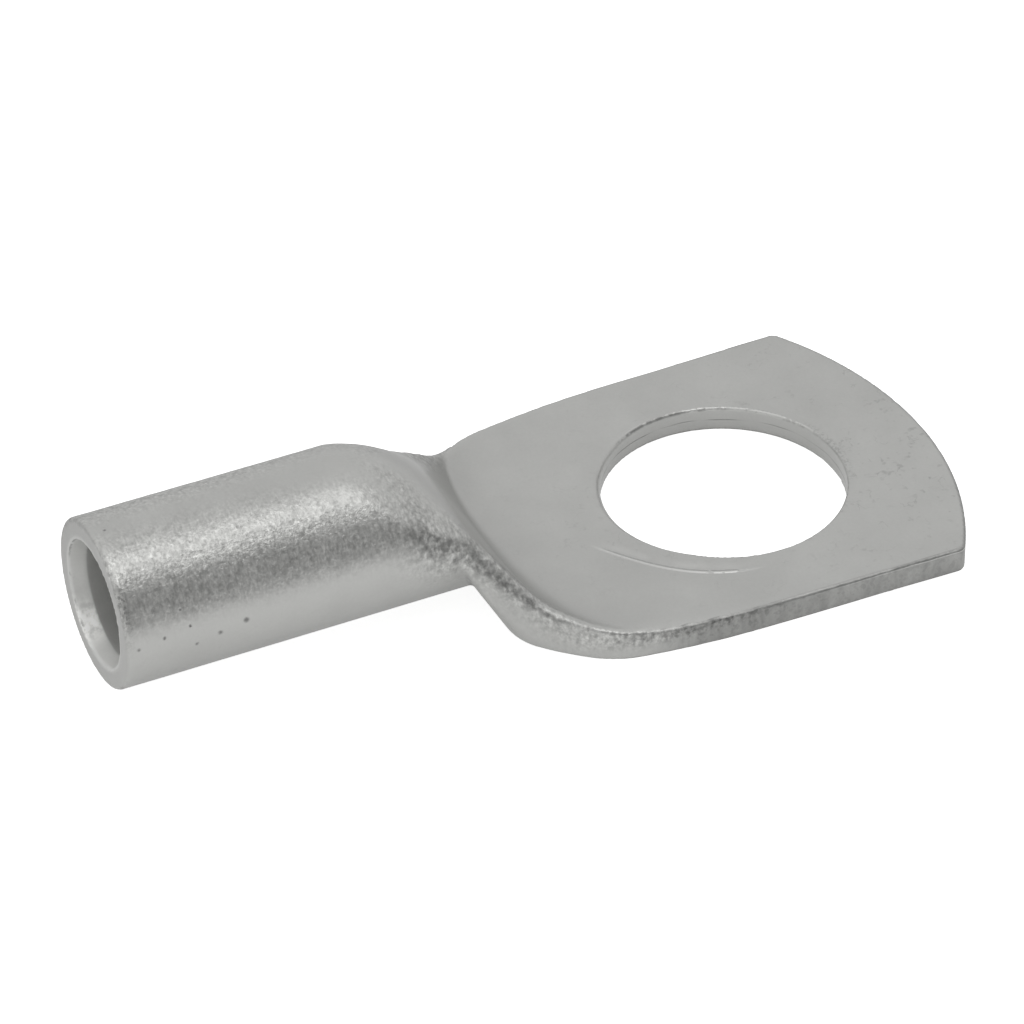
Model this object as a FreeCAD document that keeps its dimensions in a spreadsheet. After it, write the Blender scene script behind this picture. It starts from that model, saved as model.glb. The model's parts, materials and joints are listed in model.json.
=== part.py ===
"""One-piece tubular cable lug: a tin-plated copper tube, pressed flat at one end into a palm for a stud.

Row frame, in millimetres. The origin is the centre of the stud hole on the palm's contact face.
+X runs along the barrel's axis from the cable mouth to the palm's tip, and +Z is the palm's normal.
The lug is the same on both sides of the XZ plane.
"""
import FreeCAD, Part
import math
import os

import Sketcher
from FreeCAD import Vector

PART_NAME = "cable_lug"
# Reach of a cutting tool that has to clear the lug on every side, and how far one tool runs into the next.
EVERY_SIDE = 60.0
LAP = 0.5
AXIS_HEIGHT = "Sizes.barrel_lift + Sizes.barrel_outside / 2"
# Turns an object's own X to the lug's Y and its own Z to the barrel's axis.
ACROSS = FreeCAD.Rotation(Vector(0, 1, 0), Vector(0, 0, 1), Vector(1, 0, 0), "ZXY")

SIZES = [
    ("stud_hole_dia", 13.0, "stud hole, for an M12 stud"),
    ("palm_thickness", 1.45, "palm, two walls of the tube pressed together"),
    ("palm_width", 21.06, "palm's width at the stud hole"),
    ("palm_flare", 1.15, "degrees that each side of the palm opens towards the tip"),
    ("tip_reach", 11.7, "stud hole centre to the middle of the tip"),
    ("tip_radius", 19.6, "radius of the cropped tip"),
    ("tip_corner_radius", 0.4, "rounding of the two corners of the tip"),
    ("side_start", 2.7, "stud hole centre back to where the straight sides begin"),
    ("side_sweep", 46.0, "radius of the long sweep behind the straight sides"),
    ("palm_shoulder", 5.7, "radius of the palm's rear corners"),
    ("flank_angle", 41.0, "degrees between the barrel and the flanks that widen into the palm"),
    ("flank_root", 17.4, "stud hole centre back to where the flanks leave the barrel"),
    ("barrel_outside", 9.0, "barrel's outside diameter"),
    ("barrel_bore", 6.2, "barrel's bore, for a 16 mm2 stranded conductor"),
    ("barrel_lift", 1.0, "barrel's underside above the contact face"),
    ("mouth_reach", 35.5, "stud hole centre to the barrel's open end"),
    ("entry_dia", 6.74, "wide end of the conical lead-in, at the open end"),
    ("entry_depth", 0.9, "depth of the lead-in"),
    ("bore_depth", 14.0, "round part of the bore, from the open end"),
    ("pinch_length", 4.6, "length over which the bore closes to a slit"),
    ("pinch_width", 7.0, "width of the closed end of the bore"),
    ("pinch_gap", 0.5, "height of the closed end of the bore"),
    ("pinch_level", 4.0, "closed end of the bore above the contact face"),
    ("crease_reach", 13.45, "stud hole centre back to the foot of the pressed ramp"),
    ("ramp_angle", 59.0, "slope of the pressed ramp, in degrees"),
    ("ramp_shoulder", 7.6, "radius that eases the barrel's top into the ramp"),
    ("heel_reach", 14.8, "stud hole centre back to the heel under the neck"),
    ("heel_angle", 61.0, "slope of the underside between heel and barrel, in degrees"),
    ("heel_straight", 9.8, "straight middle of the heel, across the lug"),
    ("heel_sweep_radius", 3.2, "radius that sweeps the heel's ends forward"),
    ("heel_sweep_angle", 40.0, "degrees that the heel's ends turn forward"),
    ("flank_overlap", 0.3, "how far the flanks start inside the barrel"),
]

doc = FreeCAD.newDocument("CableLug")
sheet = doc.addObject("Spreadsheet::Sheet", "Sizes")
for row, (alias, value, note) in enumerate(SIZES, start=1):
    sheet.set(f"A{row}", alias)
    sheet.set(f"B{row}", str(value))
    sheet.set(f"C{row}", note)
    sheet.setAlias(f"B{row}", alias)
doc.recompute()


def size(alias):
    """A driving dimension as the sheet holds it."""
    return float(sheet.get(alias))


def origin_plane(body, role):
    """One of the body's own three planes."""
    return next(f for f in body.Origin.OriginFeatures if f.Role == role)


def new_sketch(body, name, role, back=None):
    """A sketch on one of the body's planes, moved along the plane's normal by an expression."""
    sketch = body.newObject("Sketcher::SketchObject", name)
    sketch.AttachmentSupport = [(origin_plane(body, role), "")]
    sketch.MapMode = "FlatFace"
    if back is not None:
        sketch.setExpression("AttachmentOffset.Base.z", back)
    return sketch


def bind(sketch, constraint, name, expression):
    """Adds a dimension to the sketch and ties it to the sheet."""
    index = sketch.addConstraint(constraint)
    sketch.renameConstraint(index, name)
    sketch.setExpression(f"Constraints.{name}", expression)
    return index


def barrel_body():
    """The round barrel, from its open end to where the heel's slope meets it."""
    body = doc.addObject("PartDesign::Body", "Barrel")
    sketch = new_sketch(body, "BarrelSection", "YZ_Plane", "-Sizes.mouth_reach")
    radius = size("barrel_outside") / 2
    lift = size("barrel_lift") + radius
    circle = sketch.addGeometry(Part.Circle(Vector(0, lift, 0), Vector(0, 0, 1), radius))
    sketch.addConstraint(Sketcher.Constraint("PointOnObject", circle, 3, -2))
    dimension = Sketcher.Constraint
    bind(sketch, dimension("Diameter", circle, 2 * radius), "outside", "Sizes.barrel_outside")
    bind(sketch, dimension("DistanceY", -1, 1, circle, 3, lift), "axis_height", AXIS_HEIGHT)
    pad = body.newObject("PartDesign::Pad", "BarrelLength")
    pad.Profile = sketch
    pad.setExpression(
        "Length",
        "Sizes.mouth_reach - Sizes.heel_reach - Sizes.barrel_lift / tan(Sizes.heel_angle * 1 deg)",
    )
    return body


def outline_points():
    """Where the half outline's corners and arc centres lie, so that its sketch starts out solved."""
    flare = math.radians(size("palm_flare"))
    flank = math.radians(size("flank_angle"))
    half = size("palm_width") / 2
    shoulder = size("palm_shoulder")
    sweep = size("side_sweep")
    side_start = Vector(-size("side_start"), half - size("side_start") * math.tan(flare), 0)
    sweep_centre = side_start - Vector(-math.sin(flare), math.cos(flare), 0) * sweep
    root = Vector(-size("flank_root"), size("barrel_outside") / 2 - size("flank_overlap"), 0)
    along = Vector(math.cos(flank), math.sin(flank), 0)
    outward = Vector(-math.sin(flank), math.cos(flank), 0)
    reach = root - outward * shoulder - sweep_centre
    dot = reach.dot(along)
    run = -dot - math.sqrt(dot * dot - reach.dot(reach) + (sweep - shoulder) ** 2)
    if run < 0:
        run = -dot + math.sqrt(dot * dot - reach.dot(reach) + (sweep - shoulder) ** 2)
    flank_end = root + along * run
    shoulder_centre = flank_end - outward * shoulder
    to_join = shoulder_centre - sweep_centre
    join = sweep_centre + to_join * (sweep / to_join.Length)
    tip_centre = Vector(size("tip_reach") - size("tip_radius"), 0, 0)
    slope = math.tan(flare)
    a = 1 + slope * slope
    b = half * slope - tip_centre.x
    c = tip_centre.x**2 + half**2 - size("tip_radius") ** 2
    corner_x = (-b + math.sqrt(b * b - a * c)) / a
    return {
        "root": root,
        "flank_end": flank_end,
        "shoulder_centre": shoulder_centre,
        "join": join,
        "sweep_centre": sweep_centre,
        "side_start": side_start,
        "corner": Vector(corner_x, half + slope * corner_x, 0),
        "tip_centre": tip_centre,
        "tip": Vector(size("tip_reach"), 0, 0),
    }


def arc(centre, start, end):
    """The counter-clockwise arc about centre from start to end."""
    first = math.atan2(start.y - centre.y, start.x - centre.x)
    last = math.atan2(end.y - centre.y, end.x - centre.x)
    circle = Part.Circle(centre, Vector(0, 0, 1), (start - centre).Length)
    return Part.ArcOfCircle(circle, first, last)


def outline_sketch(body):
    """Half of the lug's plan, from the flank's root in the barrel round to the tip."""
    sketch = new_sketch(body, "HalfPlan", "XY_Plane")
    p = outline_points()
    foot = Vector(p["root"].x, 0, 0)
    back = sketch.addGeometry(Part.LineSegment(foot, p["root"]))
    flank = sketch.addGeometry(Part.LineSegment(p["root"], p["flank_end"]))
    shoulder = sketch.addGeometry(arc(p["shoulder_centre"], p["join"], p["flank_end"]))
    sweep = sketch.addGeometry(arc(p["sweep_centre"], p["side_start"], p["join"]))
    side = sketch.addGeometry(Part.LineSegment(p["side_start"], p["corner"]))
    tip = sketch.addGeometry(arc(p["tip_centre"], p["tip"], p["corner"]))
    middle = sketch.addGeometry(Part.LineSegment(p["tip"], foot))
    gauge = sketch.addGeometry(Part.Point(Vector(0, size("palm_width") / 2, 0)), True)
    for kind, *ends in (
        ("Coincident", back, 2, flank, 1),
        ("Tangent", flank, 2, shoulder, 2),
        ("Tangent", shoulder, 1, sweep, 2),
        ("Tangent", sweep, 1, side, 1),
        ("Coincident", side, 2, tip, 2),
        ("Coincident", tip, 1, middle, 1),
        ("Coincident", middle, 2, back, 1),
        ("Vertical", back),
        ("PointOnObject", tip, 3, -1),
        ("PointOnObject", middle, 1, -1),
        ("PointOnObject", middle, 2, -1),
        ("PointOnObject", gauge, 1, -2),
        ("PointOnObject", gauge, 1, side),
    ):
        sketch.addConstraint(Sketcher.Constraint(kind, *ends))
    dimension = Sketcher.Constraint
    half = size("palm_width") / 2
    flare = math.radians(size("palm_flare"))
    flank_turn = math.radians(size("flank_angle"))
    for name, constraint, expression in (
        ("half_width", dimension("DistanceY", -1, 1, gauge, 1, half), "Sizes.palm_width / 2"),
        ("flare", dimension("Angle", side, flare), "Sizes.palm_flare * 1 deg"),
        ("flank", dimension("Angle", flank, flank_turn), "Sizes.flank_angle * 1 deg"),
        ("shoulder", dimension("Radius", shoulder, size("palm_shoulder")), "Sizes.palm_shoulder"),
        ("sweep", dimension("Radius", sweep, size("side_sweep")), "Sizes.side_sweep"),
        ("tip_radius", dimension("Radius", tip, size("tip_radius")), "Sizes.tip_radius"),
        ("tip_reach", dimension("DistanceX", -1, 1, tip, 1, size("tip_reach")), "Sizes.tip_reach"),
        ("side_start", dimension("DistanceX", sweep, 1, -1, 1, size("side_start")), "Sizes.side_start"),
        ("flank_root", dimension("DistanceX", back, 2, -1, 1, size("flank_root")), "Sizes.flank_root"),
        (
            "root_width",
            dimension("DistanceY", -1, 1, back, 2, p["root"].y),
            "Sizes.barrel_outside / 2 - Sizes.flank_overlap",
        ),
    ):
        bind(sketch, constraint, name, expression)
    return sketch


def heel_sketch(body):
    """Plan of the air behind the heel: a straight middle whose ends sweep forward to the flanks."""
    sketch = new_sketch(body, "HeelPlan", "XY_Plane")
    radius = size("heel_sweep_radius")
    turn = math.radians(size("heel_sweep_angle"))
    rear = -size("mouth_reach")
    side = EVERY_SIDE / 4
    corners = []
    runs = []
    sweeps = []
    for way in (1, -1):
        start = Vector(-size("heel_reach"), way * size("heel_straight") / 2, 0)
        centre = start + Vector(radius, 0, 0)
        end = centre + Vector(-math.cos(turn), way * math.sin(turn), 0) * radius
        run = (side - way * end.y) / math.cos(turn)
        outer = end + Vector(math.sin(turn), way * math.cos(turn), 0) * run
        first, last = (start, end) if way < 0 else (end, start)
        sweeps.append(sketch.addGeometry(arc(centre, first, last)))
        runs.append(sketch.addGeometry(Part.LineSegment(end, outer)))
        corners.append((start, outer))
    (top_start, top_outer), (low_start, low_outer) = corners
    middle = sketch.addGeometry(Part.LineSegment(top_start, low_start))
    top = sketch.addGeometry(Part.LineSegment(top_outer, Vector(rear, side, 0)))
    back = sketch.addGeometry(Part.LineSegment(Vector(rear, side, 0), Vector(rear, -side, 0)))
    low = sketch.addGeometry(Part.LineSegment(Vector(rear, -side, 0), low_outer))
    upper, lower = sweeps
    for kind, *ends in (
        ("Tangent", middle, 1, upper, 2),
        ("Tangent", upper, 1, runs[0], 1),
        ("Coincident", runs[0], 2, top, 1),
        ("Coincident", top, 2, back, 1),
        ("Coincident", back, 2, low, 1),
        ("Coincident", low, 2, runs[1], 2),
        ("Tangent", runs[1], 1, lower, 2),
        ("Tangent", lower, 1, middle, 2),
        ("Horizontal", top),
        ("Horizontal", low),
        ("Symmetric", middle, 1, middle, 2, -1),
        ("Symmetric", back, 1, back, 2, -1),
        ("Symmetric", runs[0], 1, runs[1], 1, -1),
    ):
        sketch.addConstraint(Sketcher.Constraint(kind, *ends))
    dimension = Sketcher.Constraint
    for name, constraint, expression in (
        ("heel_reach", dimension("DistanceX", middle, 1, -1, 1, size("heel_reach")), "Sizes.heel_reach"),
        ("rear", dimension("DistanceX", back, 1, -1, 1, size("mouth_reach")), "Sizes.mouth_reach"),
        (
            "straight",
            dimension("DistanceY", middle, 2, middle, 1, size("heel_straight")),
            "Sizes.heel_straight",
        ),
        ("sweep", dimension("Radius", upper, radius), "Sizes.heel_sweep_radius"),
        ("turn", dimension("Angle", upper, turn), "Sizes.heel_sweep_angle * 1 deg"),
        ("side", dimension("DistanceY", -1, 1, back, 1, side), f"{side}"),
    ):
        bind(sketch, constraint, name, expression)
    return sketch


def palm_body():
    """Palm and flanks as tall as the barrel, before the ramp and the flat are pressed into them."""
    body = doc.addObject("PartDesign::Body", "PalmBlank")
    pad = body.newObject("PartDesign::Pad", "HalfBlank")
    pad.Profile = outline_sketch(body)
    pad.setExpression("Length", "Sizes.barrel_lift + Sizes.barrel_outside")
    doc.recompute()
    mirror = body.newObject("PartDesign::Mirrored", "BothHalves")
    mirror.Originals = [pad]
    mirror.MirrorPlane = (origin_plane(body, "XZ_Plane"), [""])
    body.Tip = mirror
    doc.recompute()
    corners = [
        f"Edge{i}"
        for i, edge in enumerate(mirror.Shape.Edges, start=1)
        if edge.BoundBox.XLength < 1e-6
        and edge.BoundBox.YLength < 1e-6
        and (edge.CenterOfMass - outline_points()["corner"]).x > -0.01
    ]
    rounding = body.newObject("PartDesign::Fillet", "TipCorners")
    rounding.Base = (mirror, corners)
    rounding.setExpression("Radius", "Sizes.tip_corner_radius")
    wedge = body.newObject("PartDesign::Pocket", "Heel")
    wedge.Profile = heel_sketch(body)
    wedge.UseCustomVector = True
    wedge.setExpression("Direction.x", "-cos(Sizes.heel_angle * 1 deg)")
    wedge.setExpression("Direction.z", "sin(Sizes.heel_angle * 1 deg)")
    wedge.AlongSketchNormal = False
    wedge.Length = EVERY_SIDE
    hole_sketch = new_sketch(body, "StudHolePlan", "XY_Plane")
    diameter = size("stud_hole_dia")
    circle = hole_sketch.addGeometry(Part.Circle(Vector(0, 0, 0), Vector(0, 0, 1), diameter / 2))
    hole_sketch.addConstraint(Sketcher.Constraint("Coincident", circle, 3, -1, 1))
    rim = Sketcher.Constraint("Diameter", circle, diameter)
    bind(hole_sketch, rim, "stud_hole", "Sizes.stud_hole_dia")
    hole = body.newObject("PartDesign::Pocket", "StudHole")
    hole.Profile = hole_sketch
    hole.Midplane = True
    hole.Length = EVERY_SIDE
    return body


def ramp_run():
    """How far behind its foot the straight ramp would meet the barrel's top, and the shoulder's tangent."""
    slope = math.radians(size("ramp_angle"))
    rise = size("barrel_lift") + size("barrel_outside") - size("palm_thickness")
    return rise / math.tan(slope), size("ramp_shoulder") * math.tan(slope / 2)


def ramp_height(x):
    """Height of the pressed surface on the centre line: barrel top, rounded shoulder, straight ramp."""
    top = size("barrel_lift") + size("barrel_outside")
    slope = math.radians(size("ramp_angle"))
    radius = size("ramp_shoulder")
    foot = -size("crease_reach")
    run, tangent = ramp_run()
    corner = foot - run
    if x <= corner - tangent:
        return top
    if x < corner + tangent * math.cos(slope):
        return top - radius + math.sqrt(radius**2 - (x - corner + tangent) ** 2)
    return size("palm_thickness") + (foot - x) * math.tan(slope)


# How the pressed surface bends across the lug: how far behind the ramp's foot, as a share of the whole ramp
# with its shoulder, and its roundness there as a share of the barrel's. It is as round as the barrel at the
# shoulder, flat on the ramp and dished at the foot.
CROWNS = (
    (1.01, 0.999),
    (0.70, 1.01),
    (0.55, 0.97),
    (0.44, 0.765),
    (0.35, 0.45),
    (0.255, 0.11),
    (0.127, -0.09),
    (0.0, -0.19),
    (-0.16, -0.30),
    (-0.37, -0.43),
)


def press_section(x, roundness):
    """The air above the pressed surface at one station, with a parabola as its lower edge."""
    half = EVERY_SIDE / 4
    height = ramp_height(x)
    drop = roundness * half * half / size("barrel_outside")
    left = Vector(x, -half, height - drop)
    right = Vector(x, half, height - drop)
    lower = Part.BezierCurve()
    lower.setPoles([left, Vector(x, 0, height + drop), right])
    roof_left = Vector(x, -half, EVERY_SIDE)
    roof_right = Vector(x, half, EVERY_SIDE)
    return Part.Wire(
        [
            lower.toShape(),
            Part.makeLine(right, roof_right),
            Part.makeLine(roof_right, roof_left),
            Part.makeLine(roof_left, left),
        ]
    )


def press_tool():
    """What the press takes the place of: the air above ramp and palm."""
    ramp = doc.addObject("Part::Feature", "RampAir")
    foot = -size("crease_reach")
    reach = sum(ramp_run())
    sections = [press_section(foot - share * reach, roundness) for share, roundness in CROWNS]
    ramp.Shape = Part.makeLoft(sections, True, False)
    flat = doc.addObject("Part::Box", "PalmAir")
    flat.Width = EVERY_SIDE
    flat.Placement.Base = Vector(foot - CROWNS[-1][0] * reach - LAP, -EVERY_SIDE / 2, 0)
    flat.Length = EVERY_SIDE
    flat.Height = EVERY_SIDE
    both = doc.addObject("Part::Fuse", "AllAir")
    both.Base = ramp
    both.Tool = flat
    slab = doc.addObject("Part::Box", "PalmLevel")
    slab.Length = 2 * EVERY_SIDE
    slab.Width = 2 * EVERY_SIDE
    slab.Height = EVERY_SIDE
    slab.Placement.Base = Vector(-EVERY_SIDE, -EVERY_SIDE, 0)
    slab.setExpression("Placement.Base.z", f"Sizes.palm_thickness - {EVERY_SIDE}")
    tool = doc.addObject("Part::Cut", "PressAir")
    tool.Base = both
    tool.Tool = slab
    return tool


def bore_tool():
    """The air in the barrel: conical lead-in, round bore and the end that the press pinches to a slit."""
    bore = doc.addObject("Part::Cylinder", "RoundBore")
    bore.setExpression("Placement.Base.x", "-Sizes.mouth_reach")
    bore.setExpression("Height", "Sizes.bore_depth")
    bore.setExpression("Radius", "Sizes.barrel_bore / 2")
    widening = f"{LAP} * (Sizes.entry_dia - Sizes.barrel_bore) / (2 * Sizes.entry_depth)"
    cone = doc.addObject("Part::Cone", "LeadIn")
    cone.setExpression("Placement.Base.x", f"-Sizes.mouth_reach - {LAP}")
    cone.setExpression("Height", f"Sizes.entry_depth + {LAP}")
    cone.setExpression("Radius1", f"Sizes.entry_dia / 2 + {widening}")
    cone.setExpression("Radius2", "Sizes.barrel_bore / 2")
    for tool in (bore, cone):
        tool.Placement.Rotation = ACROSS
        tool.setExpression("Placement.Base.z", AXIS_HEIGHT)
    open_end = doc.addObject("Part::Circle", "PinchStart")
    open_end.setExpression("Radius", "Sizes.barrel_bore / 2")
    closed_end = doc.addObject("Part::Ellipse", "PinchEnd")
    closed_end.setExpression("MajorRadius", "Sizes.pinch_width / 2")
    closed_end.setExpression("MinorRadius", "Sizes.pinch_gap / 2")
    for curve, start, level in (
        (open_end, "Sizes.bore_depth - Sizes.mouth_reach", AXIS_HEIGHT),
        (closed_end, "Sizes.bore_depth + Sizes.pinch_length - Sizes.mouth_reach", "Sizes.pinch_level"),
    ):
        curve.Placement.Rotation = ACROSS
        curve.setExpression("Placement.Base.x", start)
        curve.setExpression("Placement.Base.z", level)
    pinch = doc.addObject("Part::Loft", "Pinch")
    pinch.Sections = [open_end, closed_end]
    pinch.Solid = True
    pinch.Ruled = True
    return [bore, cone, pinch]


barrel = barrel_body()
palm = palm_body()
doc.recompute()
blank = doc.addObject("Part::Fuse", "Blank")
blank.Base = barrel
blank.Tool = palm
pressed = doc.addObject("Part::Cut", "Pressed")
pressed.Base = blank
pressed.Tool = press_tool()
air = doc.addObject("Part::MultiFuse", "BoreAir")
air.Shapes = bore_tool()
lug = doc.addObject("Part::Cut", "Lug")
lug.Label = PART_NAME
lug.Base = pressed
lug.Tool = air
doc.recompute()

for item in doc.Objects:
    if "Invalid" in item.State or "Error" in item.State:
        raise RuntimeError(f"{item.Name} did not build: {item.State}")
if lug.Shape.isNull() or not lug.Shape.isValid() or len(lug.Shape.Solids) != 1:
    raise RuntimeError("the lug is not one valid solid")

os.makedirs("parts", exist_ok=True)
lug.Shape.exportStep(os.path.join("parts", lug.Label + ".step"))
box = lug.Shape.optimalBoundingBox(True, True)
extent = [round(v, 3) for v in (box.XLength, box.YLength, box.ZLength)]
print("volume", round(lug.Shape.Volume, 2), "mm3, box", extent, "mm,", len(lug.Shape.Faces), "faces")
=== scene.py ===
"""A tin-plated copper cable lug on a pale studio floor.

The lug is one piece: a tube whose far end is pressed into a flat palm with a stud hole. Its skin is the zero
surface of a distance field made of the barrel, the palm's plan, the press and the bore, so that every edge
has its own rounding, and a geometry node tree then gives it the grain of its tin.
"""

import json
import math

import bpy
import numpy as np
from bpy.props import BoolProperty, FloatProperty, FloatVectorProperty, IntProperty, PointerProperty
from bpy.types import Operator, Panel, PropertyGroup
from mathutils import Matrix, Quaternion, Vector


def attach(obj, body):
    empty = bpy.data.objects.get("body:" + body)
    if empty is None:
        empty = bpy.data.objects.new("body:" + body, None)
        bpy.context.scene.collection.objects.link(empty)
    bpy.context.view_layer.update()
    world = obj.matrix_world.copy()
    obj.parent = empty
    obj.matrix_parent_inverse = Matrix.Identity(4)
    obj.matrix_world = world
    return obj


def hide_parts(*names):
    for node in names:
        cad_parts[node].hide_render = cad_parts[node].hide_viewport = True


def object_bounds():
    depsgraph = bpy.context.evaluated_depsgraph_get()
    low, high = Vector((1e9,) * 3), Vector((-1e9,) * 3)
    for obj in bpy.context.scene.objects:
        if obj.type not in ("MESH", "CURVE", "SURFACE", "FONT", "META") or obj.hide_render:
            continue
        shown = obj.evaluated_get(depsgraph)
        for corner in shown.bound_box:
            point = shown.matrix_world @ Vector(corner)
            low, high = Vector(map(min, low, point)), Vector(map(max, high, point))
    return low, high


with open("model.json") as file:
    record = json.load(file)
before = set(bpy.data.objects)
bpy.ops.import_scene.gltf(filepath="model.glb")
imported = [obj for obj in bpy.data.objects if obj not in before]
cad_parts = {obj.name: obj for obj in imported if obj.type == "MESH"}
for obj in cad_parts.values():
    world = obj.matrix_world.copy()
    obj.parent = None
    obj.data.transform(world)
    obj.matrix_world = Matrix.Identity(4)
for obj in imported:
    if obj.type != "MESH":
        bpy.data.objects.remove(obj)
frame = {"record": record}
CAD_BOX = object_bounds()
MOUNTS = {mount["name"]: mount for mount in frame["record"]["mounts"]}

bl_info = {
    "name": "Tinned Cable Lug",
    "version": (1, 0, 0),
    "blender": (4, 5, 0),
    "location": "View3D > Sidebar > Cable Lug",
    "description": "Builds a pressed tubular cable lug, its tin finish and its studio",
    "category": "Add Mesh",
}

MM = 0.001
NODE = "cable_lug"


def length(name, millimetres, description):
    """A size of the lug, shown in the scene's length unit."""
    return FloatProperty(
        name=name, description=description, default=millimetres * MM, unit="LENGTH", precision=5
    )


class LugSizes(PropertyGroup):
    """The lug's own measures. The frame gives those that it states."""

    mouth: length("Mouth reach", -CAD_BOX[0][0] / MM, "Stud hole centre to the open end")
    tip: length("Tip reach", CAD_BOX[1][0] / MM, "Stud hole centre to the middle of the tip")
    top: length("Barrel top", CAD_BOX[1][2] / MM, "Barrel's top above the contact face")
    stud_radius: length("Stud hole radius", MOUNTS["stud_hole"]["dims"]["r_mm"], "Hole for the terminal stud")
    palm_thickness: length("Palm", MOUNTS["stud_hole"]["dims"]["length_mm"], "Both pressed walls together")
    bore_radius: length("Bore radius", MOUNTS["cable_bore"]["dims"]["r_mm"], "Bore that takes the conductor")
    barrel_radius: length("Barrel radius", 4.5, "Barrel's outside radius")
    palm_half_width: length("Palm half width", 10.53, "Palm's half width at the stud hole")
    tip_radius: length("Tip radius", 19.6, "Radius of the cropped tip")
    side_start: length("Side start", 2.7, "Hole centre back to the start of the straight sides")
    side_sweep: length("Side sweep", 46.0, "Long sweep behind the straight sides")
    shoulder: length("Shoulder", 5.7, "Radius of the palm's rear corners")
    flank_root: length("Flank root", 17.4, "Hole centre back to where the flanks leave the barrel")
    flank_lap: length("Flank lap", 0.3, "How far the flanks start inside the barrel")
    entry_radius: length("Entry radius", 3.37, "Lead-in of the bore")
    entry_depth: length("Entry depth", 0.9, "Depth of the lead-in")
    bore_depth: length("Bore depth", 14.0, "Round part of the bore")
    pinch_length: length("Pinch length", 4.6, "Length over which the bore closes")
    pinch_level: length("Pinch level", 4.0, "Closed end of the bore above the contact face")
    crease: length("Crease reach", 13.45, "Hole centre back to the foot of the pressed ramp")
    ramp_shoulder: length("Ramp shoulder", 7.6, "Radius that eases the barrel's top into the ramp")
    heel: length("Heel reach", 14.8, "Hole centre back to the heel under the neck")
    heel_straight: length("Heel straight", 9.8, "Straight middle of the heel, across the lug")
    heel_sweep: length("Heel sweep", 3.2, "Radius that sweeps the heel's ends forward")
    flare: FloatProperty(name="Palm flare", default=math.radians(1.15), subtype="ANGLE",
                         description="How far each side of the palm opens towards the tip")
    flank_angle: FloatProperty(name="Flank angle", default=math.radians(41), subtype="ANGLE",
                               description="Angle between barrel and flanks")
    ramp_angle: FloatProperty(name="Ramp angle", default=math.radians(59), subtype="ANGLE",
                              description="Slope of the pressed ramp")
    heel_angle: FloatProperty(name="Heel angle", default=math.radians(61), subtype="ANGLE",
                              description="Slope of the underside from heel to barrel")
    sweep_angle: FloatProperty(name="Heel turn", default=math.radians(40), subtype="ANGLE",
                               description="How far the heel's ends turn forward")


class LugFinish(PropertyGroup):
    """The tin plate: its colour, its sheen and its grain."""

    pitch: length("Mesh pitch", 0.17, "Spacing of the skin's points")
    tin: FloatVectorProperty(name="Tin", subtype="COLOR", size=3, min=0, max=1, default=(0.515, 0.517, 0.503),
                             description="Colour of the smooth plate")
    sheen: FloatProperty(name="Roughness", default=0.34, min=0, max=1, subtype="FACTOR",
                         description="Roughness of the smooth plate")
    grain_size: length("Grain size", 0.5, "Spacing of the grain on the bent metal")
    grain_height: length("Grain height", 0.025, "Height of the grain on the bent metal")
    bump: FloatProperty(name="Fine grain", default=1.0, min=0, description="Strength of the finest grain")
    ripple_size: length("Ripple size", 4.2, "Spacing of the slow waves in the pressed faces")
    ripple_height: length("Ripple height", 0.02, "Height of those waves")
    seed: IntProperty(name="Seed", default=7, min=0, description="Draw of the grain")


class LugStudio(PropertyGroup):
    """Floor, light and camera."""

    azimuth: FloatProperty(name="Azimuth", default=math.radians(-25.149), subtype="ANGLE",
                           description="Camera round the lug, 0 looks along +Y")
    elevation: FloatProperty(name="Elevation", default=math.radians(37.159), subtype="ANGLE",
                             description="Camera above the horizon")
    roll: FloatProperty(name="Roll", default=math.radians(-0.673), subtype="ANGLE",
                        description="Camera's turn about its own axis")
    distance: length("Distance", 297.725, "Camera to the point it looks at")
    lens: FloatProperty(name="Lens", default=198.83, min=1, unit="CAMERA", description="Focal length")
    key: FloatProperty(name="Key", default=1.0, min=0, description="Strength of the soft box overhead")
    fill: FloatProperty(name="Fill", default=1.0, min=0, description="Strength of the room's light")
    floor_shown: BoolProperty(name="Floor", default=True, description="Show the pale floor")


# The point that the camera looks at, and how near it sees, in metres.
LOOK_AT = Vector((-10.348, 4.200, 0.0)) * MM
CLIP_START = 0.01

# The pressed surface: how far behind the ramp's foot, as a share of the whole ramp with its shoulder, and how
# round it is there across the lug, as a share of the barrel's own roundness. The table of it has this many
# stations, is smoothed over a window of them, and the surface's slope is taken over PRESS_STEP.
CROWNS = (
    (1.01, 0.999),
    (0.70, 1.01),
    (0.55, 0.97),
    (0.44, 0.765),
    (0.35, 0.45),
    (0.255, 0.11),
    (0.127, -0.09),
    (0.0, -0.19),
    (-0.16, -0.30),
    (-0.37, -0.43),
)
CROWN_STATIONS = 1200
CROWN_WINDOW = 33
PRESS_STEP = 0.01

# Roundings, in millimetres. The flank's upper edge is rolled most on the neck and least along the palm. It
# fades out where the pressed surface runs into the barrel, and on the far side of the neck's foot it is only
# FAR_EDGE of that.
EDGE_AT = (-20.4, -18.8, -17.6, -15.6, -13.5, -12.3, -11.0, -8.0, -4.0, 12.0)
EDGE_RADII = (1.6, 1.3, 1.2, 1.15, 0.85, 0.5, 0.3, 0.2, 0.16, 0.14)
EDGE_BLEND = 0.8
EDGE_GAIN = 1.6
EDGE_SHARES = (0.02, 1)
FAR_EDGE = 0.3
FAR_OUT = (0.0, 3.0)
FAR_REAR = (-7.0, -12.0)
TIP_CORNER = 0.28
BOTTOM_EDGE = 0.12
# The edges under the neck, which are rounder behind HEEL_EDGE_AT.
HEEL_EDGE = 0.2
HEEL_EDGE_AT = -10
HEEL_EDGE_RUN = 4
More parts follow.
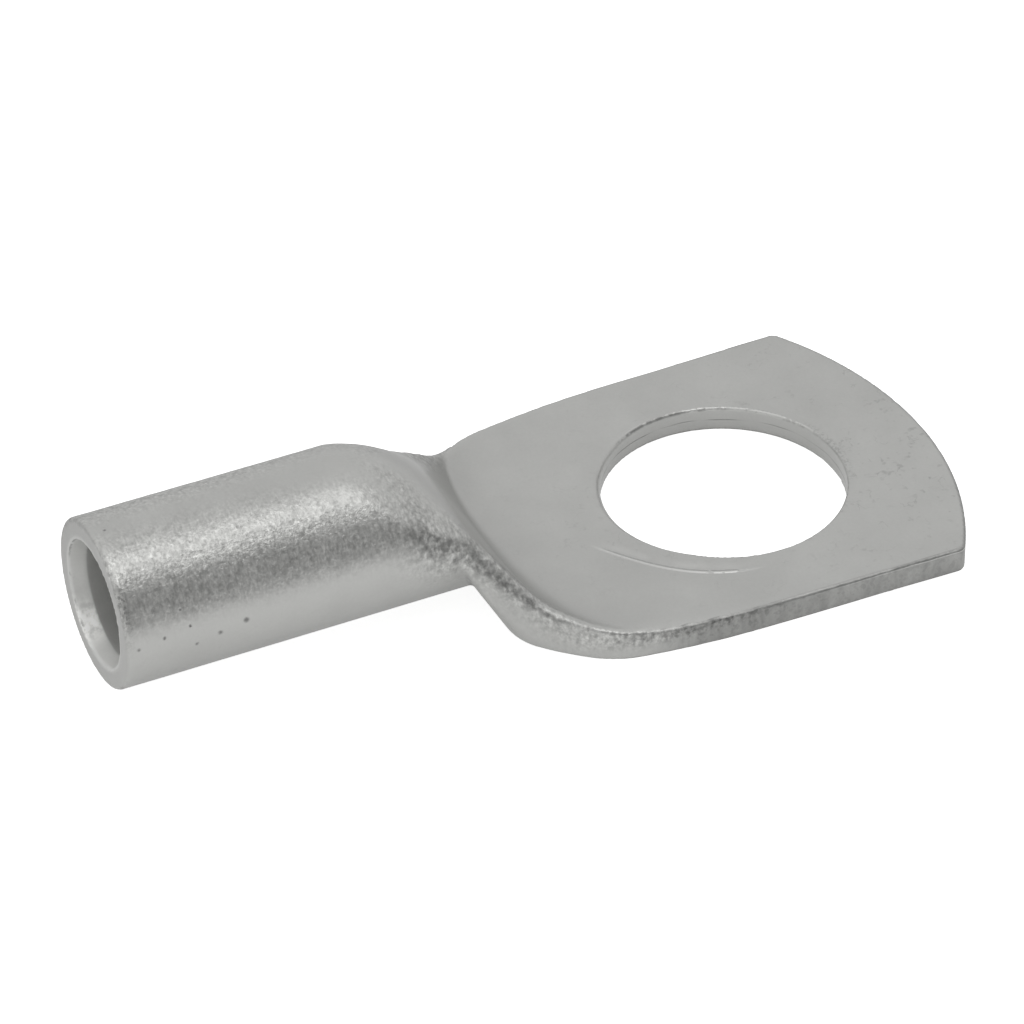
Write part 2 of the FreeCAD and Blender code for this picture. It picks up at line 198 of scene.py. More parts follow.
# The fillets in the corners between flank and barrel, and between ramp and palm.
FLANK_FILLET = 0.15
CREASE_FILLET = 0.9
CREASE_GAIN = 0.09
CREASE_FILLETS = (0.3, 2.0)
# The edges of the open end, outside and inside.
MOUTH_EDGE = 0.2
BORE_EDGE = 0.06
# The stud hole's upper edge is rolled on the side of the neck: where, in x less a quarter of y, and how much.
HOLE_ROLL_AT = (-6.5, -3.0)
HOLE_ROLLS = (0.6, 0.13)
# The pinched end of the bore: how much wider it gets, how high its slit stays, and how far it closes.
PINCH_SPREAD = 0.4
PINCH_GAP = 0.25
PINCH_MOST = 0.97

# The mesher evens the points out by these shares, and then moves them onto the skin: none by more than about
# LONGEST_STEP at a time, along a slope that is measured over SLOPE_STEP.
RELAX = (0.5, 0.5, 0.5, 0.0)
LONGEST_STEP = 0.1
LEAST_SLOPE = 0.25
SLOPE_STEP = 0.02

# The grain of the pressed metal, in millimetres along the lug and degrees above the barrel's side. On the
# barrel it lies in a band, whose upper end turns down towards the neck.
BAND_FROM = (2, 32)
BAND_TO = (96, 58)
BAND_TURN = 12
BAND_TURN_AT = (-30, -20)
BAND_END = (-16.5, -20.0)
# From the neck on it follows the rolled edge of the flank, whose middle lies a share of its radius deep. It is
# widest at the neck and keeps off the palm's top.
ROLL_FROM = (-22, -18.5)
ROLL_TO = (0, -7.0)
EDGE_MIDDLE = 0.3
ROLL_WIDTH = 0.7
ROLL_DEPTH = 0.8
NECK_AT = -18.0
NECK_HALF = 2.5
NECK_DEPTH = 0.5
PALM_FROM = (-14.0, -12.0)
PALM_LESS_DEPTH = 0.2
PALM_TOP_LEAN = (50, 78)
FAR_LESS = 0.75
FAR_FROM = (-15, -12)
# The painted highlight along the palm's rim, and the painted shade on the rolled edge and a band of the
# barrel, by the skin's lean in degrees.
RIM_LEAN = 64
RIM_WIDTH = 0.8
LEAN_SPREAD = 26
SHADE_LEAN = 24
SHADE_LOWER = 14
SHADE_LOWER_AT = -17.4
SHADE_LOWER_FROM = (-12.5, -10.5)
SHADE_GAP_AT = -12.0
SHADE_GAP_HALF = 1.6
SHADE_GAP = 0.8
BAND_SHADE = 0.2
BAND_SHADE_TURN = 30
BAND_SHADE_HALF = 14
# The shade at the foot of the pressed ramp: how far behind the foot, how wide, and how it bows.
CREASE_BEHIND = 1.2
CREASE_WIDTH = 2.4
CREASE_BOW = 0.02
# The nicked edge of the mouth, and the cut edge of the palm.
NICKS_AT = (-34.9, -35.2)
NICKS_TURN = 42
NICKS_HALF = 30
CUT_DEPTH = (-0.2, -0.03)
CUT_FROM = (-10.0, -6.0)
# The coarse grain's size against the fine one's.
COARSE_GRAIN = 2.2

# Small pits in the barrel: where in millimetres, and how wide.
PITS = (
    ((-29.1, -4.50, 5.47), 0.20),
    ((-30.5, -4.49, 5.15), 0.18),
    ((-31.8, -4.45, 4.84), 0.12),
    ((-34.9, -4.50, 5.56), 0.13),
    ((-33.5, -4.49, 5.84), 0.12),
    ((-32.1, -4.46, 6.10), 0.09),
    ((-32.5, -4.21, 7.10), 0.09),
    ((-34.7, -0.14, 10.00), 0.11),
)
# The line that the punch dragged up on the palm, in millimetres and degrees about the hole: its radius and
# width, its middle and half its turn, how fast it nears the hole, how its ends bend, and where they fade.
DRAG_RADIUS = 7.9
DRAG_WIDTH = 0.18
DRAG_MIDDLE = 125.0
DRAG_HALF = 41.0
DRAG_DRIFT = 0.0125
DRAG_BEND = 0.45
DRAG_FROM = (-170.0, -158.0)
DRAG_TO = (-116.0, -98.0)
# The step that the punch left inside that line, and how wide it is.
STEP_INSIDE = 0.45
STEP_WIDTH = 0.50
# Marks round the stud hole's edge, in degrees: a painted highlight on its burr, then a darker stretch, each
# between soft ends.
# Towards the tip the palm's top is worn along that edge, WORN_HALF to each side.
BURR_FROM = (5.0, 30.0)
BURR_TO = (78.0, 86.0)
DARK_STRETCH_TO = (112.0, 135.0)
WORN_HALF = 40.0
# Heights above the contact face from which the metal is the palm's top, and from which the nicks of the mouth
# get a painted highlight rather than painted shade.
PALM_TOP = (1.2, 1.35)
HIGH_NICKS = (8.3, 8.9)
# The height of the faint seam between the two pressed walls, in the hole's wall.
SEAM_LEVEL = 0.80
SEAM_WIDTH = 0.05
SEAM_WAVER = 0.2
# The barrel's axis above the contact face, and the glint low in its mouth, in degrees round that axis.
AXIS = 5.5
GLINT_AT = -54.0
GLINT_HALF = 32.0

# The floor: half its side in metres, its own grey, and what it adds to be white to the camera. It also shines
# in the metal along a strip in front of the lug: how much, where the strip's middle lies and how far it goes.
FLOOR_HALF = 1.5
FLOOR_GREY = 0.75
FLOOR_WHITE = 0.8
POOL_GLOW = 0.36
POOL_AT = -0.015
POOL_REACH = 0.04
# The room's light, and where it is dim: low down, on the side that the lug is looked at from.
ROOM = 0.78
DIM = 0.37
DIM_EDGE = (0.50, 0.95)
FRONT = (0.20, -0.91, 0.36)
# The soft box overhead: its place and size in metres, what it faces, and its power in watts.
KEY_PLACE = Vector((0.06, -0.125, 0.43))
KEY_SIZE = (0.34, 0.25)
KEY_AIM = Vector((-0.012, 0, 0))
KEY_WATTS = 0.262


class Field:
    """The lug as a distance field in millimetres: negative in the metal, positive in the air."""

    def __init__(self, sizes):
        for name in sizes.__annotations__:
            value = getattr(sizes, name)
            setattr(self, name, value if name.endswith(("angle", "flare")) else value / MM)
        self.axis = self.top - self.barrel_radius
        self.slope = math.tan(self.ramp_angle)
        self.ramp_run = (self.top - self.palm_thickness) / self.slope
        self.ramp_tangent = self.ramp_shoulder * math.tan(self.ramp_angle / 2)
        self.plan_points()
        self.crown_table()

    def plan_points(self):
        """Corners and arc centres of the half plan, for y above zero."""
        tilt = math.tan(self.flare)
        self.side_point = np.array((-self.side_start, self.palm_half_width - self.side_start * tilt))
        side_out = np.array((-math.sin(self.flare), math.cos(self.flare)))
        self.sweep_centre = self.side_point - side_out * self.side_sweep
        self.root = np.array((-self.flank_root, self.barrel_radius - self.flank_lap))
        self.flank_way = np.array((math.cos(self.flank_angle), math.sin(self.flank_angle)))
        self.flank_out = np.array((-self.flank_way[1], self.flank_way[0]))
        reach = self.root - self.flank_out * self.shoulder - self.sweep_centre
        dot = reach @ self.flank_way
        square = dot * dot - reach @ reach + (self.side_sweep - self.shoulder) ** 2
        runs = (-dot - math.sqrt(square), -dot + math.sqrt(square))
        self.flank_end = self.root + self.flank_way * min(run for run in runs if run > 0)
        self.shoulder_centre = self.flank_end - self.flank_out * self.shoulder
        to_join = self.shoulder_centre - self.sweep_centre
        self.join = self.sweep_centre + to_join * (self.side_sweep / np.linalg.norm(to_join))
        self.tip_centre = self.tip - self.tip_radius

    def crown_table(self):
        """Roundness of the pressed surface across the lug, along the ramp, smoothed between its stations."""
        reach = self.ramp_run + self.ramp_tangent
        behind = np.array([share for share, _ in CROWNS]) * reach
        roundness = np.array([value for _, value in CROWNS]) / (2 * self.barrel_radius)
        self.crown_x = np.linspace(-self.mouth, self.tip, CROWN_STATIONS)
        table = np.interp(self.crown_x, -self.crease - behind, roundness)
        window = np.hanning(CROWN_WINDOW)
        table = np.pad(table, CROWN_WINDOW // 2, mode="edge")
        self.crown = np.convolve(table, window / window.sum(), mode="valid")

    def plan(self, x, y):
        """Signed distance to the plan's outline, from flank to tip."""
        p = np.stack((x, y), -1)
        flank = (p - self.root) @ self.flank_out
        from_shoulder = p - self.shoulder_centre
        along = from_shoulder @ self.flank_way
        to_join = self.join - self.shoulder_centre
        over = from_shoulder[..., 0] * to_join[1] - from_shoulder[..., 1] * to_join[0]
        shoulder = np.hypot(from_shoulder[..., 0], from_shoulder[..., 1]) - self.shoulder
        from_sweep = p - self.sweep_centre
        sweep = np.hypot(from_sweep[..., 0], from_sweep[..., 1]) - self.side_sweep
        ahead, out = x - self.side_point[0], y - self.side_point[1]
        side = out * math.cos(self.flare) - ahead * math.sin(self.flare)
        rear = np.where(along < 0, flank, shoulder)
        side = np.where(x < self.side_point[0], sweep, side)
        edge = np.where(over < 0, rear, side)
        tip = np.hypot(x - self.tip_centre, y) - self.tip_radius
        return rounded_and(edge, tip, TIP_CORNER)

    def press(self, x, y):
        """Height of the pressed surface."""
        corner = -self.crease - self.ramp_run
        start = corner - self.ramp_tangent
        arc = np.sqrt(np.maximum(self.ramp_shoulder**2 - (x - start) ** 2, 0))
        height = np.where(x < start, self.top, self.top - self.ramp_shoulder + arc)
        ramp = self.palm_thickness - (x + self.crease) * self.slope
        height = np.where(x > corner + self.ramp_tangent * math.cos(self.ramp_angle), ramp, height)
        return height - np.interp(x, self.crown_x, self.crown) * y * y

    def parts(self, x, y, z):
        """The distances that the lug is put together from, at points given as three arrays."""
        y = np.abs(y)
        barrel = np.hypot(y, z - self.axis) - self.barrel_radius
        height = self.press(x, y)
        along = (self.press(x + PRESS_STEP, y) - height) / PRESS_STEP
        across = (self.press(x, y + PRESS_STEP) - height) / PRESS_STEP
        lean = np.sqrt(1 + along**2 + across**2)
        ramp = (z - height) / lean
        out = np.maximum(barrel + self.barrel_radius, 0.1)
        facing = ((z - self.axis) / out - across * y / out) / lean
        return barrel, ramp, facing, self.heel_air(x, y, z), self.plan(x, y)

    def heel_air(self, x, y, z):
        """Signed distance to the slope under the neck, whose ends sweep forward; positive is air."""
        out = y - self.heel_straight / 2
        along = x + z / math.tan(self.heel_angle) + self.heel - self.heel_sweep
        sine, cosine = math.sin(self.sweep_angle), math.cos(self.sweep_angle)
        swept = np.hypot(along, out) - self.heel_sweep
        beyond = -along * cosine + out * sine - self.heel_sweep
        turned = out * cosine + along * sine > 0
        bent = np.where(turned, beyond, swept)
        return np.where(out > 0, bent, -along - self.heel_sweep) * math.sin(self.heel_angle)

    def edge_radius(self, x):
        """Rounding of the edge between the pressed surface and the flank, from barrel to palm."""
        return np.interp(x, EDGE_AT, EDGE_RADII)

    def __call__(self, x, y, z):
        """Signed distance to the whole lug."""
        barrel, ramp, facing, heel, plan = self.parts(x, y, z)
        flanks = rounded_and(plan, heel, HEEL_EDGE)
        at_heel = np.clip((HEEL_EDGE_AT - x) / HEEL_EDGE_RUN, 0, 1)
        flanks = rounded_and(flanks, -z, BOTTOM_EDGE + HEEL_EDGE * at_heel)
        barrel_end = x + self.heel + (self.top - 2 * self.barrel_radius) / math.tan(self.heel_angle)
        blank = rounded_or(rounded_and(barrel, barrel_end, BOTTOM_EDGE), flanks, FLANK_FILLET)
        fillet = np.clip(CREASE_FILLET - CREASE_GAIN * y, *CREASE_FILLETS)
        under_press = rounded_or(ramp, z - self.palm_thickness, fillet)
        bend = 1 - facing * (1 - smooth_step(0.0, EDGE_BLEND, barrel))
        radius = self.edge_radius(x) * np.clip(bend * EDGE_GAIN, *EDGE_SHARES)
        radius = radius * (1 - (1 - FAR_EDGE) * smooth_step(*FAR_OUT, y) * smooth_step(*FAR_REAR, x))
        metal = rounded_and(blank, under_press, radius)
        metal = rounded_and(metal, -self.mouth - x, MOUTH_EDGE)
        metal = rounded_and(metal, -self.bore(x, y, z), BORE_EDGE)
        hole = self.stud_radius - np.hypot(x, y)
        roll = np.interp(x - 0.25 * y, HOLE_ROLL_AT, HOLE_ROLLS)
        rim = np.where(z > self.palm_thickness / 2, roll, BOTTOM_EDGE)
        return rounded_and(metal, hole, rim)

    def bore(self, x, y, z):
        """Air in the barrel: lead-in, round bore and the end that the press pinches to a slit."""
        rise = z - self.axis
        ring = np.hypot(y, rise)
        end = -self.mouth + self.bore_depth
        bore = np.maximum(ring - self.bore_radius, x - end)
        widening = (self.entry_radius - self.bore_radius) / self.entry_depth
        entry = ring - self.bore_radius - (self.entry_depth - x - self.mouth) * widening
        entry = np.maximum(entry, x + self.mouth - self.entry_depth)
        share = np.clip((x - end) / self.pinch_length, 0, PINCH_MOST)
        wide = self.bore_radius + PINCH_SPREAD * share
        tall = self.bore_radius * (1 - share) + PINCH_GAP * share
        drop = rise + (self.axis - self.pinch_level) * share
        pinch = (np.hypot(y / wide, drop / tall) - 1) * tall
        pinch = np.maximum(np.maximum(pinch, end - x), x - end - self.pinch_length)
        return np.minimum(np.minimum(bore, entry), pinch)


def rounded_and(a, b, radius):
    """Metal that is in both a and b, with the edge between them rounded."""
    corner = np.hypot(np.maximum(a + radius, 0), np.maximum(b + radius, 0))
    return np.minimum(np.maximum(a, b), -radius) + corner


def rounded_or(a, b, radius):
    """Metal that is in a or b, with a fillet in the corner between them."""
    corner = np.hypot(np.maximum(radius - a, 0), np.maximum(radius - b, 0))
    return np.maximum(np.minimum(a, b), radius) - corner


def surface_net(values, low, pitch):
    """Points and quads of the zero surface of a grid of values: one point in each cell that it crosses."""
    inside = values < 0
    shape = [n - 1 for n in values.shape]
    corners = [(i, j, k) for i in (0, 1) for j in (0, 1) for k in (0, 1)]

    def block(array, corner):
        return array[tuple(slice(c, c + n) for c, n in zip(corner, shape))]

    count = sum(block(inside, corner).astype(np.int8) for corner in corners)
    mixed = (count > 0) & (count < len(corners))
    cells = np.argwhere(mixed)
    index = np.full(shape, -1)
    index[mixed] = np.arange(len(cells))
    at = [block(values, corner)[mixed] for corner in corners]
    total = np.zeros((len(cells), 3))
    hits = np.zeros(len(cells))
    for first, corner in enumerate(corners):
        for axis, bit in enumerate((4, 2, 1)):
            if corner[axis]:
                continue
            a, b = at[first], at[first + bit]
            crossed = (a < 0) != (b < 0)
            share = np.where(crossed, a / np.where(crossed, a - b, 1), 0)
            point = np.tile(np.array(corner, float), (len(cells), 1))
            point[:, axis] = share
            total += point * crossed[:, None]
            hits += crossed
    points = np.array(low) + (cells + total / hits[:, None]) * pitch
    quads = []
    for axis in range(3):
        u, v = [n for n in range(3) if n != axis]
        here = [slice(None)] * 3
        here[axis] = slice(0, -1)
        there = list(here)
        there[axis] = slice(1, None)
        first, second = inside[tuple(here)], inside[tuple(there)]
        for turn, change in ((1, first & ~second), (-1, second & ~first)):
            edges = np.argwhere(change)
            edges = edges[(edges[:, u] > 0) & (edges[:, v] > 0)]
            ring = []
            for du, dv in ((1, 1), (0, 1), (0, 0), (1, 0)):
                cell = edges.copy()
                cell[:, u] -= du
                cell[:, v] -= dv
                ring.append(index[tuple(cell.T)])
            quads.append(np.stack(ring[:: turn * (-1 if axis == 1 else 1)], 1))
    return points, np.concatenate(quads)


def settle(field, points, quads):
    """Evens the points out along the surface and brings them onto it."""
    pairs = np.concatenate([quads[:, (i, (i + 1) % 4)] for i in range(4)])
    pairs = np.concatenate((pairs, pairs[:, ::-1]))
    degree = np.bincount(pairs[:, 0], minlength=len(points))
    for relax in RELAX:
        mean = [np.bincount(pairs[:, 0], points[pairs[:, 1], k], len(points)) / degree for k in range(3)]
        points = points + (np.stack(mean, 1) - points) * relax
        for _ in range(2):
            value, slope = gradient(field, points)
            stride = np.clip(value, -LONGEST_STEP, LONGEST_STEP)
            stride = stride / np.maximum((slope**2).sum(1), LEAST_SLOPE)
            points = points - slope * stride[:, None]
    return points


def gradient(field, points):
    """The field's value and slope at each point."""
    value = field(*points.T)
    slope = np.empty_like(points)
    for k in range(3):
        ahead = points.copy()
        ahead[:, k] += SLOPE_STEP
        behind = points.copy()
        behind[:, k] -= SLOPE_STEP
        slope[:, k] = (field(*ahead.T) - field(*behind.T)) / (2 * SLOPE_STEP)
    return value, slope


def smooth_step(low, high, value):
    """0 below low, 1 above high, and a soft change between."""
    share = np.clip((value - low) / (high - low), 0, 1)
    return share * share * (3 - 2 * share)


def bell(value, centre, width):
    """1 at the centre, falling off to both sides."""
    return np.exp(-(((value - centre) / width) ** 2))


def attributes(field, points):
    """What the finish needs to know at each point of the skin, each as a value from 0 to about 1."""
    x, y, z = points.T
    barrel, ramp, _, _, plan = field.parts(x, y, z)
    _, slope = gradient(field, points)
    lean = np.degrees(np.arcsin(slope[:, 2] / np.maximum(np.linalg.norm(slope, axis=1), 1e-6)))
    turn = np.degrees(np.arctan2(z - field.axis, np.abs(y)))
    upper = turn + BAND_TURN * smooth_step(*BAND_TURN_AT, x)
    band = smooth_step(*BAND_FROM, turn) * smooth_step(*BAND_TO, upper)
    band = band * smooth_step(*BAND_END, x) * smooth_step(-0.5, -0.1, barrel)

    edge = field.edge_radius(x) * EDGE_MIDDLE
    outer = np.where(x < -field.flank_root, np.minimum(plan, barrel), plan)
    below_press = np.minimum(ramp, z - field.palm_thickness)
    on_palm = smooth_step(*PALM_FROM, x)
    depth = ROLL_DEPTH + NECK_DEPTH * bell(x, NECK_AT, NECK_HALF) - PALM_LESS_DEPTH * on_palm
    rolled = bell(outer + edge, 0, ROLL_WIDTH) * bell(below_press + edge, 0, depth)
    rolled = rolled * smooth_step(*ROLL_FROM, x) * smooth_step(*ROLL_TO, x)
    rolled = rolled * (1 - FAR_LESS * smooth_step(*FAR_OUT, y) * smooth_step(*FAR_FROM, x))
    # Painted highlight: a bright line along the palm's rim, where its edge leans towards the soft box.
    rim = rolled * on_palm * bell(lean, RIM_LEAN, LEAN_SPREAD) * bell(plan, 0, RIM_WIDTH)
    rolled = rolled * (1 - on_palm * smooth_step(*PALM_TOP_LEAN, lean))

    # Painted shade: the rolled edge and a band of the barrel are darkened where they face the dim side of the
    # room.
    lower = np.maximum(bell(x, SHADE_LOWER_AT, 0.9), smooth_step(*SHADE_LOWER_FROM, x))
    darkest = SHADE_LEAN - SHADE_LOWER * lower
    on_edge = np.minimum(rolled * 1.4, 1) * bell(lean, darkest, LEAN_SPREAD)
    on_edge = on_edge * (1 - SHADE_GAP * bell(x, SHADE_GAP_AT, SHADE_GAP_HALF))
    painted_dark_band = np.maximum(band * BAND_SHADE * bell(turn, BAND_SHADE_TURN, BAND_SHADE_HALF), on_edge)

    inside = smooth_step(0.25, 0.02, np.abs(field.bore(x, y, z)))
    on_ramp = smooth_step(-0.6, -0.1, below_press) * smooth_step(0.2, -0.6, plan)
    foot = x + field.crease + CREASE_BEHIND - CREASE_BOW * y * y
    nicks = smooth_step(*NICKS_AT, x) * bell(barrel, 0, 0.4) * bell(turn, NICKS_TURN, NICKS_HALF) * (y < 0)
    grain = np.maximum(np.maximum(band, rolled * 1.2), nicks * 0.6) * (1 - inside)
    return {
        "grain": np.clip(grain, 0, 1) + rim * 0.3,
        "rim": rim,
        "nick": nicks,
        "soot": painted_dark_band,
        "bore": inside,
        "cut": smooth_step(*CUT_DEPTH, plan) * smooth_step(*CUT_FROM, x),
        "crease": bell(foot, 0, CREASE_WIDTH) * on_ramp,
    }


def new_mesh_object(name, points, quads, floats):
    """A mesh object from points in millimetres, with one float attribute for each entry of floats."""
    mesh = bpy.data.meshes.new(name)
    mesh.from_pydata(points * MM, [], quads.tolist())
    for key, values in floats.items():
        mesh.attributes.new(key, "FLOAT", "POINT").data.foreach_set("value", values.astype(np.float32))
    mesh.update()
    thing = bpy.data.objects.new(name, mesh)
    bpy.context.scene.collection.objects.link(thing)
    return thing


class NodeSocket:
    """A socket that takes part in Python expressions: each operator adds its Math node."""

    def __init__(self, tree, socket):
        self.tree = tree
        self.socket = socket

    def node(self, kind, settings=None, inputs=None, output=0):
        """Adds any node: its settings first, then the values or links of its sockets."""
        node = self.tree.nodes.new(kind)
        for key, value in (settings or {}).items():
            setattr(node, key, value)
        for key, value in (inputs or {}).items():
            target = node.inputs[key]
            if isinstance(value, NodeSocket):
                self.tree.links.new(value.socket, target)
            else:
                target.default_value = value
        return NodeSocket(self.tree, node.outputs[output])

    def math(self, operation, *values, clamp=False):
        """Adds a Math node on the given values, as a number from 0 to 1 where it is clamped."""
        settings = {"operation": operation, "use_clamp": clamp}
        return self.node("ShaderNodeMath", settings, dict(enumerate(values)))

    def vector(self, operation, other, output=0):
        """Adds a Vector Math node on this vector and another one."""
        return self.node("ShaderNodeVectorMath", {"operation": operation}, {0: self, 1: other}, output)

    def __add__(self, other):
        return self.math("ADD", self, other)

    def __sub__(self, other):
        return self.math("SUBTRACT", self, other)

    def __rsub__(self, other):
        return self.math("SUBTRACT", other, self)

    def __mul__(self, other):
        return self.math("MULTIPLY", self, other)

    def __pow__(self, other):
        return self.math("POWER", self, other)

    def __abs__(self):
        return self.math("ABSOLUTE", self)

    __radd__ = __add__
    __rmul__ = __mul__

    def clip(self):
        """The value, kept from 0 to 1."""
        return self.math("ADD", self, 0.0, clamp=True)

    def above(self, low, high):
        """0 below low, 1 above high, and a soft change between."""
        inputs = {"Value": self, "From Min": low, "From Max": high, "To Min": 0.0, "To Max": 1.0}
        return self.node("ShaderNodeMapRange", {"interpolation_type": "SMOOTHSTEP"}, inputs)

    def near(self, centre, width):
        """1 at the centre, 0 from the width on."""
        return 1.0 - abs(self - centre).above(0.0, width)


def relief_tree(finish):
    """Geometry nodes that give the skin its grain and its slow waves, and the values of their inputs."""
    tree = bpy.data.node_groups.new("TinRelief", "GeometryNodeTree")
    tree.is_modifier = True
    sockets = tree.interface
    sockets.new_socket("Geometry", in_out="INPUT", socket_type="NodeSocketGeometry")
    for name in ("Grain Size", "Grain Height", "Ripple Size", "Ripple Height"):
        socket = sockets.new_socket(name, in_out="INPUT", socket_type="NodeSocketFloat")
        socket.subtype = "DISTANCE"
    sockets.new_socket("Seed", in_out="INPUT", socket_type="NodeSocketInt")
    sockets.new_socket("Finish", in_out="INPUT", socket_type="NodeSocketMaterial")
    sockets.new_socket("Geometry", in_out="OUTPUT", socket_type="NodeSocketGeometry")
    entry = tree.nodes.new("NodeGroupInput")
    ports = {socket.name: NodeSocket(tree, socket) for socket in entry.outputs if socket.name}
    start = ports["Geometry"]
    place = start.node("GeometryNodeInputPosition")
    normal = start.node("GeometryNodeInputNormal")
    grain = start.node("GeometryNodeInputNamedAttribute", {"data_type": "FLOAT"}, {"Name": "grain"})

    def noise(size, shift):
        """Noise about zero, with a shift of its own so that no two of them match."""
        inputs = {"Vector": place, "W": ports["Seed"] + shift, "Scale": size ** -1.0, "Detail": 1.0}
        return start.node("ShaderNodeTexNoise", {"noise_dimensions": "4D"}, inputs) - 0.5

    coarse = noise(ports["Grain Size"] * COARSE_GRAIN, 11.3) * ports["Grain Height"]
    fine = noise(ports["Grain Size"], 0.5) * ports["Grain Height"]
    waves = noise(ports["Ripple Size"], 7.7) * ports["Ripple Height"]
    lift = (coarse + fine) * grain + waves
    scaled = start.node("ShaderNodeVectorMath", {"operation": "SCALE"}, {0: normal, "Scale": lift})
    moved = start.node("GeometryNodeSetPosition", None, {"Geometry": start, "Offset": scaled})
    smooth = start.node("GeometryNodeSetShadeSmooth", None, {"Geometry": moved})
    real = start.node("GeometryNodeRealizeInstances", None, {"Geometry": smooth})
    done = start.node("GeometryNodeSetMaterial", None, {"Geometry": real, "Material": ports["Finish"]})
    tree.links.new(done.socket, tree.nodes.new("NodeGroupOutput").inputs[0])
    values = {
        "Grain Size": finish.grain_size,
        "Grain Height": finish.grain_height,
        "Ripple Size": finish.ripple_size,
        "Ripple Height": finish.ripple_height,
        "Seed": finish.seed,
    }
    return tree, values


def apply_tree(thing, tree, values):
    """Runs a geometry node tree on an object and keeps the result as its plain mesh."""
    modifier = thing.modifiers.new(tree.name, "NODES")
    modifier.node_group = tree
    for item in tree.interface.items_tree:
        if item.in_out == "INPUT" and item.name in values:
            modifier[item.identifier] = values[item.name]
    graph = bpy.context.evaluated_depsgraph_get()
    mesh = bpy.data.meshes.new_from_object(thing.evaluated_get(graph))
    thing.modifiers.remove(modifier)
    thing.data = mesh


